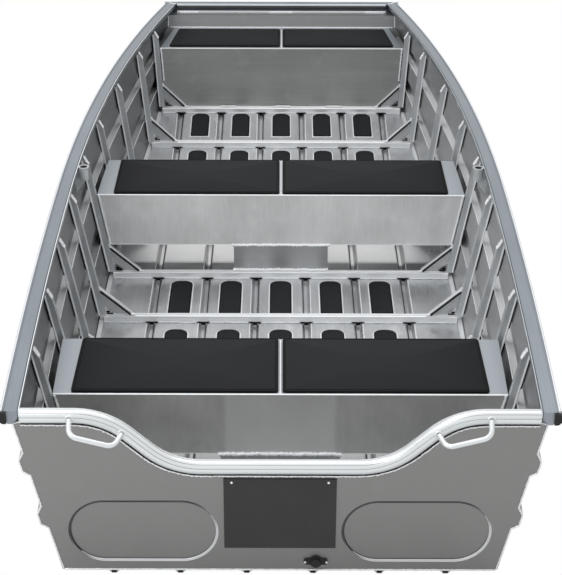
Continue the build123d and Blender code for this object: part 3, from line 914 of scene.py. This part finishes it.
beads("weld_beams", beamWelds, 0.0032, "weld", ripple=0.5, step=0.007, seed=7, sides=1)
beads("weld_frames", frameWelds, 0.0030, "weld", ripple=0.5, step=0.006, seed=8, sides=1)
beads("weld_gussetTips", tipWelds, 0.0056, "edge", ripple=0.3, step=0.005, seed=13)
beads("weld_ribHeads", headWelds, 0.0029, "edge", ripple=0.6, step=0.006, seed=14, sides=1)
print("welds made")


# Painted highlights on the folds and painted shade in the gaps of the strakes, ribs and gussets
benches = {"stern": (0.380, 0.342), "mid": (1.827, 0.342), "bow": (3.420, 0.375)}  # station, top
boxStations = (benches["stern"][0], benches["mid"][0])
strakeFolds = {"folds": (1, 5), "proud": 0.0002, "ends": (0.03, 3.62), "clear": (0.012, 0.013)}
ribFolds = {
    "foot": 0.002, "inward": 0.0072, "brightAft": 0.0130, "darkAft": 0.0087, "darkOut": 0.0046,
    "slots": ((0.02, 0.30), (0.40, 0.64), (0.74, 0.96)),
}
gussetFolds = {
    "darkAft": 0.0086, "darkLow": (0.086, -0.002), "darkHigh": (0.001, 0.088),
    "holeAft": 0.0105, "holeIn": 0.003, "hole": ((0.004, 0.026), (0.011, 0.015)),
    "brightAft": 0.0092, "lifts": (0.006, 0.003, -0.008),
}
paintedHighlightLines, paintedShadeLines, ribHighlightLines, benchHighlightLines = [], [], [], []
first, last = strakeFolds["ends"]
before, behind = strakeFolds["clear"]
starts = [first] + [s + behind for s in hull["frames"]]
bays = list(zip(starts, [s - before for s in hull["frames"]] + [last]))


def spread(start, end):
    return [start + (end - start) * k / 3 for k in range(4)]


for hand in hands:
    for start, end in bays:
        for fold in strakeFolds["folds"]:
            spots = []
            for station in spread(start, end):
                z = strakeLine(station)[fold][0]
                spots.append((sideX(station, z) + strakeFolds["proud"], yAt(station), z))
            paintedHighlightLines.append(mirrored(hand, spots))
    for station in hull["frames"]:
        foot, neck = beamTop(station) + ribFolds["foot"], neckZ(station)
        lowX, neckX = [sideX(station, z) - ribFolds["inward"] for z in (foot, neck)]
        y = yAt(station) - ribFolds["brightAft"]
        ribHighlightLines.append(inPlane(hand, y, (lowX, foot), (neckX, neck)))
        y = yAt(station) - ribFolds["darkAft"]
        for slot in ribFolds["slots"]:
            spots = [
                (lowX + (neckX - lowX) * k + ribFolds["darkOut"], foot + (neck - foot) * k)
                for k in slot
            ]
            paintedShadeLines.append(inPlane(hand, y, *spots))
        top, inner, upX = gussetAt(station)
        lowIn, lowUp = gussetFolds["darkLow"]
        highIn, highUp = gussetFolds["darkHigh"]
        y = yAt(station) - gussetFolds["darkAft"]
        paintedShadeLines.append(inPlane(hand, y, (inner - lowIn, top + lowUp), (upX - highIn, top + highUp)))
        y = yAt(station) - gussetFolds["holeAft"]
        for lift, reach in gussetFolds["hole"]:
            spots = [(inner - inward, top + lift) for inward in (gussetFolds["holeIn"], reach)]
            paintedShadeLines.append(inPlane(hand, y, *spots))
        y = yAt(station) - gussetFolds["brightAft"]
        for lift in gussetFolds["lifts"]:
            toe, tip = (inner - gusset["long"], top), (upX, top + gusset["tall"])
            paintedHighlightLines.append(inPlane(hand, y, *[(x, z + lift) for x, z in (toe, tip)]))

# Painted highlights on the folds of the beams, benches and supports, and on the seam between each
# bench's pads
beamFolds = {"inset": 0.045, "lines": ((-0.0158, 0.0245), (-0.0040, 0.0262))}
benchFolds = {
    "fore": 0.0010, "drop": 0.0012, "seamAft": 0.003, "seamFore": 0.004, "seamLift": 0.0005,
    "support": 0.1460,
}
for station in hull["frames"]:
    reach = chineX(station) - beamFolds["inset"]
    for ahead, lift in beamFolds["lines"]:
        paintedHighlightLines.append(levelLine(-reach, reach, *onFloor(station, ahead, hull["sheet"] + lift)))
for station, top in benches.values():
    wide = sideX(station, top) - gusset["ribDeep"]
    y = yAt(station) + benchFolds["fore"]
    benchHighlightLines.append(levelLine(-wide, wide, y, top - benchFolds["drop"]))
for row, (station, top) in benches.items():  # between its two pads
    low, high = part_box(f"pad_{row}_port")
    z = low[2] + benchFolds["seamLift"]
    benchHighlightLines.append([
        (0, yAt(station) + benchFolds["seamAft"], z), (0, high[1] - benchFolds["seamFore"], z)
    ])
for station in boxStations:
    wide = sideX(station, benchFolds["support"]) - gusset["ribDeep"]
    y = yAt(station) + benchFolds["fore"]
    paintedHighlightLines.append(levelLine(-wide, wide, y, benchFolds["support"]))
threads("paintedHighlights_folds", paintedHighlightLines, 0.0014, "edge", sides=1)
threads("paintedHighlights_benches", benchHighlightLines, 0.0026, "edge", sides=1)
threads("paintedHighlights_ribs", ribHighlightLines, 0.0031, "edge", sides=1)

# The floor's ribs: painted shade in the slots under the beams and in the open ends under the transom
floorRibs = {
    "slotAft": 0.0016, "slots": ((0.0185, 0.0040), (0.0075, -0.0020)),
    "endHalf": 0.007, "endAft": 0.0016, "endZ": 0.0065, "clear": 0.008,
}
for station in hull["frames"]:
    for x in ribX:
        for half, lift in floorRibs["slots"]:
            y, z = onFloor(station, -hull["beamWide"] / 2 - floorRibs["slotAft"], lift)
            paintedShadeLines.append(levelLine(x - half, x + half, y, z))
for x in ribX:
    half = floorRibs["endHalf"]
    paintedShadeLines.append(levelLine(x - half, x + half, yAt(-floorRibs["endAft"]), floorRibs["endZ"]))
threads("paintedShade_gaps", paintedShadeLines, 0.0028, "darkRimAndPaintedShade", sides=1)

# Painted shade on the wall and a painted highlight on the outer fold of each floor rib: towards the
# middle, and up
shadeLines, brightLines = [], []
for x in ribX:
    toMiddle = -1 if x > 0 else 1
    for start, end in bays:
        stations = spread(start + floorRibs["clear"], end - floorRibs["clear"])
        for lines, inward, lift in ((shadeLines, 0.0100, -0.0070), (brightLines, -0.0170, 0.0003)):
            lines.append([
                (x + toMiddle * inward, yAt(s), bottomZ(s) + hull["sheet"] + lift) for s in stations
            ])
threads("shade_floorRibs", shadeLines, 0.0030, "rimShade", sides=1)
threads("paintedHighlights_floorRibs", brightLines, 0.0017, "edge", sides=1)

# Welds of the benches: the supports under them and their ends on the ribs
benchBeads = {
    "underHalf": 0.178, "underAft": 0.0016, "under": 0.1325, "footHalf": 0.174, "footAft": 0.0026,
    "foot": 0.006, "boxEnd": (0.0350, 0.0022, (0.150, 0.338)),
    "bowEnd": (0.0340, 0.0020, (0.225, 0.371)),
}


def benchEnds(station, end):
    inward, aft, heights = benchBeads[end]
    path = [(sideX(station, z) - inward, yAt(station) - aft, z) for z in heights]
    return [mirrored(hand, path) for hand in hands]


benchWelds, endWelds = [], []
for station in boxStations:
    half, y = benchBeads["underHalf"], yAt(station) - benchBeads["underAft"]
    benchWelds.append(levelLine(-half, half, y, hull["ribDrop"] + benchBeads["under"]))
    half, y = benchBeads["footHalf"], yAt(station) - benchBeads["footAft"]
    benchWelds.append(levelLine(-half, half, y, beamTop(station) + benchBeads["foot"]))
    endWelds += benchEnds(station, "boxEnd")
endWelds += benchEnds(benches["bow"][0], "bowEnd")
beads("weld_benchEnds", endWelds, 0.0042, "edge", ripple=0.5, step=0.008, seed=12)
beads("weld_benches", benchWelds, 0.0062, "edge", ripple=0.45, step=0.007, seed=9, sides=1)

# The bow: tabs between the folded plate and the gunwale, and its corner welds
bowBeads = {
    "tabs": ((-0.055, 0.050), (0.385, 0.470), (-0.470, -0.385)), "aft": 0.0022, "drop": 0.0060,
    "row": 0.0055, "cornerAt": 3.775, "lift": 0.001,
    "corner": ((-0.024, 3.776, 3.776), (-0.006, 3.788, 3.79), (0.004, 3.806, 3.80),
               (0.018, 3.818, 3.80)),  # sideways, its station and its sheer's
}
plateTop = bowSheer - hull["gunwaleDepth"]
plateFoot = bottomZ(hull["bowFoot"]) + hull["sheet"]


def tabLines(tabs, rows, y, z, stepY, stepZ):
    # each tab has some rows of short lines
    return [
        levelLine(start, end, y + row * stepY, z + row * stepZ)
        for start, end in tabs for row in range(rows)
    ]


y, z = lipY - bowBeads["aft"], plateTop - bowBeads["drop"]
bowWelds = tabLines(bowBeads["tabs"], 3, y, z, 0, bowBeads["row"])
for hand in hands:
    bowWelds.append([
        (hand * (topX(bowBeads["cornerAt"]) + out), yAt(station), sheerZ(sheer) + bowBeads["lift"])
        for out, station, sheer in bowBeads["corner"]
    ])
beads("weld_bow", bowWelds, 0.0030, "edge", ripple=0.5, step=0.006, seed=10, sides=1)

# Tabs between the last beam and the bow bench
tabBeads = {
    "tabs": ((-0.27, -0.205), (-0.035, 0.040), (0.200, 0.275)), "aft": 0.010, "row": 0.006,
    "lift": 0.004,
}
lastFrame = hull["frames"][-1]
y, z = yAt(lastFrame) - tabBeads["aft"], beamTop(lastFrame) + tabBeads["lift"]
tabWelds = tabLines(tabBeads["tabs"], 2, y, z, tabBeads["row"], 0)
beads("weld_bowBench", tabWelds, 0.0034, "weld", ripple=0.5, step=0.006, seed=11, sides=1)

# Painted shade along the upper left and painted highlight along the lower right of the rims of the
# transom's pressed panels: where each look starts and ends, in degrees
panel = {
    "x": 0.366, "z": 0.140, "long": 0.400, "tall": 0.198, "steps": 48,
    "rings": ((0.0005, -0.0014), (0.0035, -0.0024)),
    "rims": {"rimShade": (15, 240), "rimLight": (-150, 50)},
}
for look, (start, end) in panel["rims"].items():
    arcs = []
    for hand in hands:
        for shrink, proud in panel["rings"]:
            radius = panel["tall"] / 2 - shrink
            reach = panel["long"] / 2 - panel["tall"] / 2
            arc = []
            for k in range(panel["steps"] + 1):
                turn = math.radians(start + (end - start) * k / panel["steps"])
                shift = reach if abs(turn) <= math.radians(90) else -reach
                arc.append(onTransom(
                    hand * panel["x"] + shift + radius * math.cos(turn),
                    panel["z"] + radius * math.sin(turn), proud,
                ))
            arcs.append(arc)
    threads(f"panelRims_{look}", arcs, 0.0023, look, taper=0.25)

# Painted shade in the rowlock sockets' bores: a dark disc in each
rowlock = {
    "x": 0.6832, "station": 1.646, "bore": 0.0135, "thick": 0.006, "below": 0.0065,
    "dip": (0.003, -0.004),
}
for side, hand in bothSides:
    low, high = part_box(f"rowlock_socket_{side}")
    place = (hand * rowlock["x"], yAt(rowlock["station"]), high[2] - rowlock["below"])
    plug = beginPiece(
        "mesh.primitive_cylinder_add", f"rowlockShade_{side}", vertices=24, radius=rowlock["bore"],
        depth=rowlock["thick"], location=place,
    )
    pickFaces(plug, facesUp)
    insetSteps([rowlock["dip"]])
    finishPiece(plug, "darkRimAndPaintedShade")


# The bow plate: a bead where it stands on the bench and meets the sides, and strakes' ends
bowPlate = {
    "beadAft": 0.0034, "foot": (0.3772, 0.012), "sideIn": 0.0015, "sideFrom": (0.380, 0.42),
    "sideTop": 0.004, "strakeAt": 3.70, "strakeAft": 0.0026, "strakeOut": 0.0006,
    "strakeIn": 0.012, "thick": 0.0024,
}


def plateStation(z):
    share = (z - plateFoot) / (plateTop - plateFoot)
    return hull["bowFoot"] + (hull["bowTop"] - hull["bowFoot"]) * share


def onBowPlate(z, inset):
    station = plateStation(z) - bowPlate["beadAft"]
    return (sideX(station, z) - inset, yAt(station), z)


def strakeEnd(name, hand, strake):
    # closes a strake's end against the bow plate, in the plate's own slope
    corners = []
    for z, out in strakeLine(bowPlate["strakeAt"])[4 * strake + 1:4 * strake + 5]:
        station = plateStation(z) - bowPlate["strakeAft"]
        side = sideX(station, z)
        corners.append((hand * (side + out - bowPlate["strakeOut"]), yAt(station), z))
        corners.append((hand * (side - bowPlate["strakeIn"]), yAt(station), z))
    outline = [corners[i] for i in (0, 2, 4, 6, 7, 5, 3, 1)]
    end = drawOut(name, outline, [(0, bowPlate["thick"], 0)])
    return finishPiece(end, "bowPlate")


x, y, z = onBowPlate(*bowPlate["foot"])
plateWelds = [levelLine(-x, x, y, z)]
heights = (*bowPlate["sideFrom"], plateTop - bowPlate["sideTop"])
for hand in hands:
    plateWelds.append(mirrored(hand, [onBowPlate(z, bowPlate["sideIn"]) for z in heights]))
beads("weld_bowPlate", plateWelds, 0.0027, "edge", ripple=0.3, step=0.010, seed=15)
strakeEnds = [strakeEnd("strakeEnd", hand, strake) for hand in hands for strake in (0, 1)]
joinAll(strakeEnds, "strakeEnds_bow")

# The motor pad's rivets and the drain's screws, each with how proud it sits
rivetSizes = {
    "spots": ((-0.128, 0.302, 0.0050, "edge"), (0.128, 0.302, 0.0050, "edge"),
              (0.068, 0.042, 0.0062, "tube"), (0.126, 0.042, 0.0062, "tube")),
    "radius": 0.0032, "thick": 0.003, "dome": ((0.0010, 0.0008), (0.0010, 0.0004)),
}
rivets = []
for x, z, proud, look in rivetSizes["spots"]:
    rivet = beginPiece(
        "mesh.primitive_cylinder_add", "rivet", vertices=12, radius=rivetSizes["radius"],
        depth=rivetSizes["thick"], location=onTransom(x, z, proud),
        rotation=(math.radians(90) + lean, 0, 0),
    )
    pickFaces(rivet, lambda face: abs(face.normal.z) > 0.9)
    insetSteps(rivetSizes["dome"])
    rivets.append(finishPiece(rivet, look))
joinAll(rivets, "rivets_transom")
print("edges and small welds made")


# Floor, lights and background: plain white as seen by the camera
studio = {
    "floor": 0.8, "rough": 0.9, "ambient": 0.85, "wide": 60, "below": 0.0005,
    "aim": (0, 0, 0.2), "lamps": (
        ("TopLamp", (0.0, 0.5, 5.0), 5.0, 80),
        ("KeyLamp", (-2.5, -3.5, 3.5), 2.5, 60),
    ),
}
bpy.ops.object.select_all(action="DESELECT")
bpy.ops.mesh.primitive_plane_add(size=studio["wide"], location=(0, 0, -studio["below"]))
floor = bpy.context.object
floor.name = "StudioFloor"
floorFinish = Finish("PaleFloor")
floorFinish.set(Base_Color=grey(studio["floor"]), Roughness=studio["rough"])
seen = floorFinish.node("ShaderNodeLightPath", out="Is Camera Ray")
glow = floorFinish.node("ShaderNodeEmission", sockets={"Color": grey(1), "Strength": 1.0})
blend = floorFinish.node(
    "ShaderNodeMixShader",
    sockets={0: seen, 1: Wire(floorFinish, floorFinish.shader.outputs[0]), 2: glow},
)
floorFinish.feed(floorFinish.tree.nodes["Material Output"].inputs["Surface"], blend)
floor.data.materials.append(floorFinish.material)

world = bpy.data.worlds.new("Studio")
bpy.context.scene.world = world
world.use_nodes = True
tree = world.node_tree
soft = tree.nodes["Background"]
white = tree.nodes.new("ShaderNodeBackground")
for background, strength in ((soft, studio["ambient"]), (white, 1.0)):
    background.inputs["Color"].default_value = grey(1)
    background.inputs["Strength"].default_value = strength
rays = tree.nodes.new("ShaderNodeLightPath")
either = tree.nodes.new("ShaderNodeMixShader")
sources = (rays.outputs["Is Camera Ray"], soft.outputs[0], white.outputs[0])
for source, target in zip(sources, either.inputs):
    tree.links.new(source, target)
tree.links.new(either.outputs[0], tree.nodes["World Output"].inputs["Surface"])

for name, place, size, power in studio["lamps"]:
    bpy.ops.object.select_all(action="DESELECT")
    bpy.ops.object.light_add(type="AREA", location=place)
    lamp = bpy.context.object
    lamp.name = name
    lamp.data.size = size
    lamp.data.energy = power
    aim = Vector(studio["aim"]) - Vector(place)
    lamp.rotation_euler = aim.to_track_quat("-Z", "Y").to_euler()
bpy.context.scene.view_settings.view_transform = "Standard"
print("studio set")
